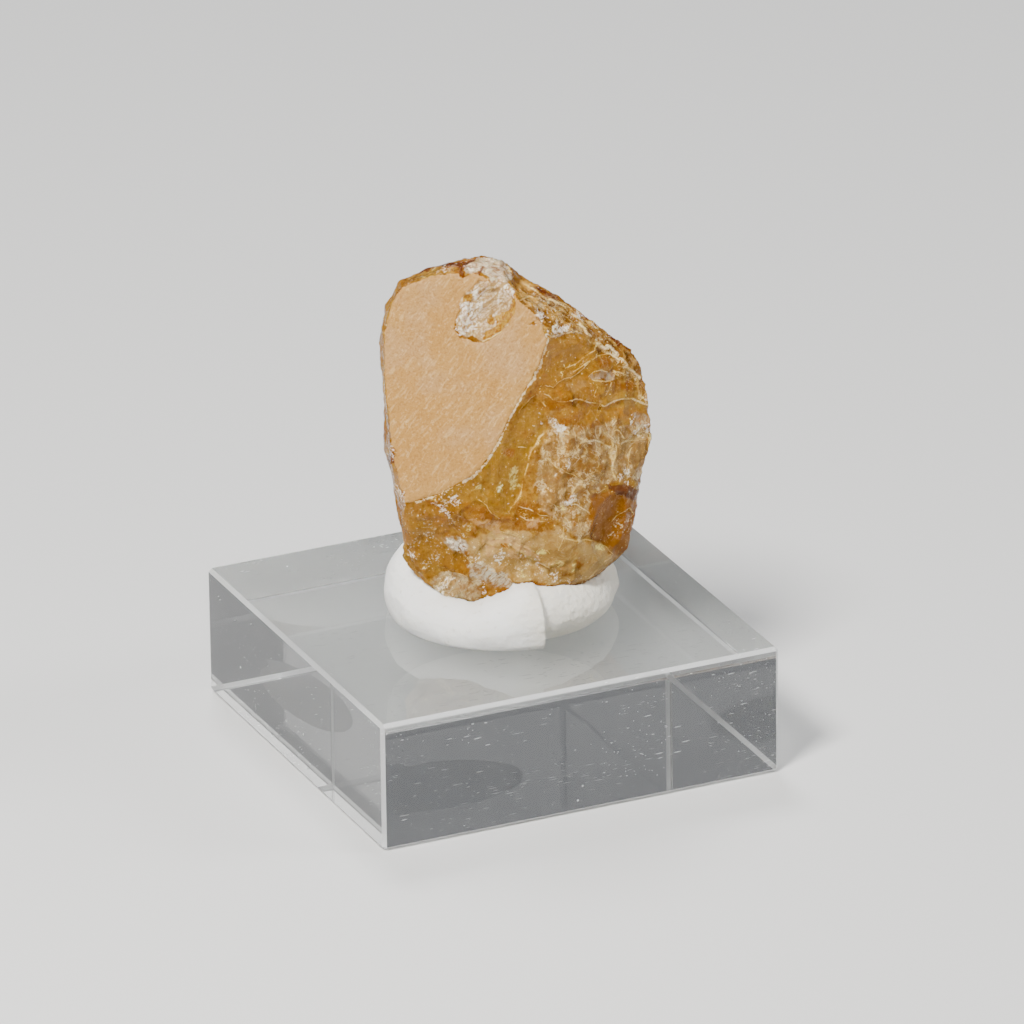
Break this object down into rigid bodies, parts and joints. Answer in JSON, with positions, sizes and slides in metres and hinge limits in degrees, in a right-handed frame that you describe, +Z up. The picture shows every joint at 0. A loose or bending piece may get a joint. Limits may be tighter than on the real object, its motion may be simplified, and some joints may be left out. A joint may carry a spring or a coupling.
{
  "type": "mineral specimen",
  "caption": "Raw honey-brown stibiotantalite crystal with a broad flat natural face and glassy broken sides, set in a pad of white putty on a clear acrylic block.",
  "frame": {"origin": "centre of the acrylic block's underside", "axes": "+Z up through the crystal; +X and +Y along the block's sides; the crystal's broad face looks towards -Y, turned about 39 degrees towards -X"},
  "size_m": [0.03, 0.03, 0.0356],
  "materials": {
    "clear_acrylic": "clear polished acrylic with fine chamfered edges and a few scratches",
    "white_putty": "matte off-white putty, hand pressed",
    "amber_crystal": "translucent honey to orange-brown, glassy where broken, satin tan on the broad natural face"
  },
  "bodies": {
    "root": {"acrylic_block": "clear_acrylic", "putty_pad": "white_putty", "stibiotantalite_crystal": "amber_crystal"}
  },
  "joints": []
}
